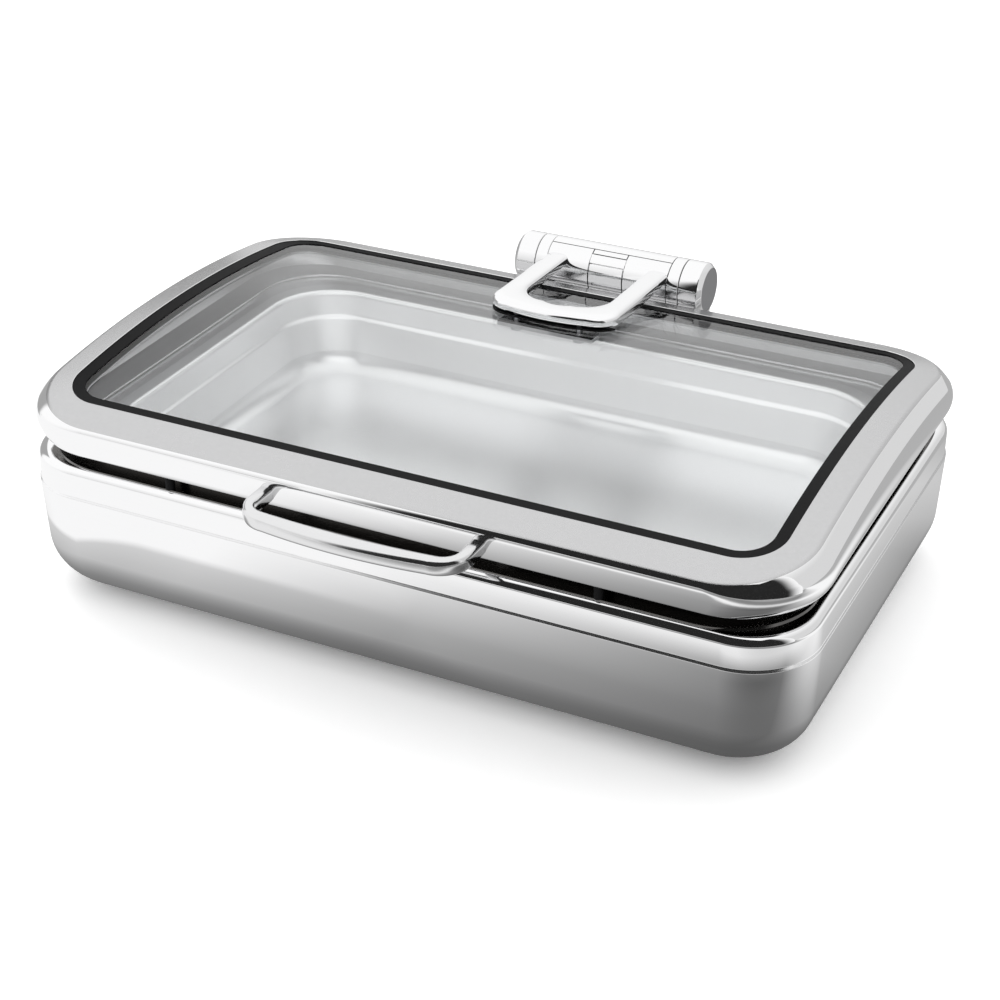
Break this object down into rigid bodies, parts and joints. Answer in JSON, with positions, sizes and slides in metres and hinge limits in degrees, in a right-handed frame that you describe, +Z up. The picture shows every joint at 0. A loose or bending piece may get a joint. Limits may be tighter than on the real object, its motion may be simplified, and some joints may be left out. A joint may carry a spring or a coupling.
{
  "type": "chafing dish",
  "caption": "Rectangular steel chafing dish with a hanging food pan over a water well and an arched glass lid on a spring-and-damper rear hinge with a front handle.",
  "frame": {"origin": "on the table, under the middle of the body", "axes": "+X along the long side to the right, +Y to the hinge at the back, +Z up"},
  "size_m": [0.611, 0.477, 0.1808],
  "materials": {
    "mirror_steel": "mirror-polished stainless steel",
    "satin_steel": "satin stainless steel with a fine grain",
    "plain_steel": "plain stainless sheet, out of sight",
    "fastener_steel": "machined stainless steel",
    "spring_steel": "oiled spring wire",
    "clear_glass": "clear tempered glass",
    "black_silicone": "matte black silicone",
    "pale_polymer": "natural acetal",
    "dark_polymer": "dark moulded plastic"
  },
  "bodies": {
    "base": {"body_shell": "mirror_steel", "base_plate": "satin_steel", "rim_collar": "satin_steel", "lid_bumpers": "black_silicone", "hinge_bracket": "mirror_steel", "bracket_seal": "black_silicone", "bracket_backing": "plain_steel", "bracket_screws": "fastener_steel", "hinge_axle": "fastener_steel", "hinge_end_caps": "satin_steel", "spring_sleeve": "pale_polymer", "torsion_spring": "spring_steel", "damper_rotor": "pale_polymer"},
    "pan": {"food_pan": "satin_steel"},
    "lid": {"lid_frame": "satin_steel", "lid_glass": "clear_glass", "glass_seal": "black_silicone", "glass_retainer": "satin_steel", "retainer_studs": "fastener_steel", "retainer_nuts": "fastener_steel", "lid_handle": "mirror_steel", "handle_screws": "fastener_steel", "handle_washers": "fastener_steel", "hinge_arm": "mirror_steel", "hinge_barrel": "mirror_steel", "barrel_screws": "fastener_steel", "hinge_bushes": "pale_polymer", "damper_housing": "dark_polymer", "arm_pad": "black_silicone", "clamp_pad": "black_silicone", "clamp_plate": "plain_steel", "arm_bolts": "fastener_steel"}
  },
  "joints": [
    {"name": "lid_hinge", "type": "hinge", "parent": "base", "child": "lid", "pos_m": [0, 0.218, 0.1593], "axis": [-1, 0, 0], "range_deg": [0, 90]},
    {"name": "food_pan_lift", "type": "slide", "parent": "base", "child": "pan", "axis": [0, 0, 1], "range_m": [0, 0.014]}
  ]
}
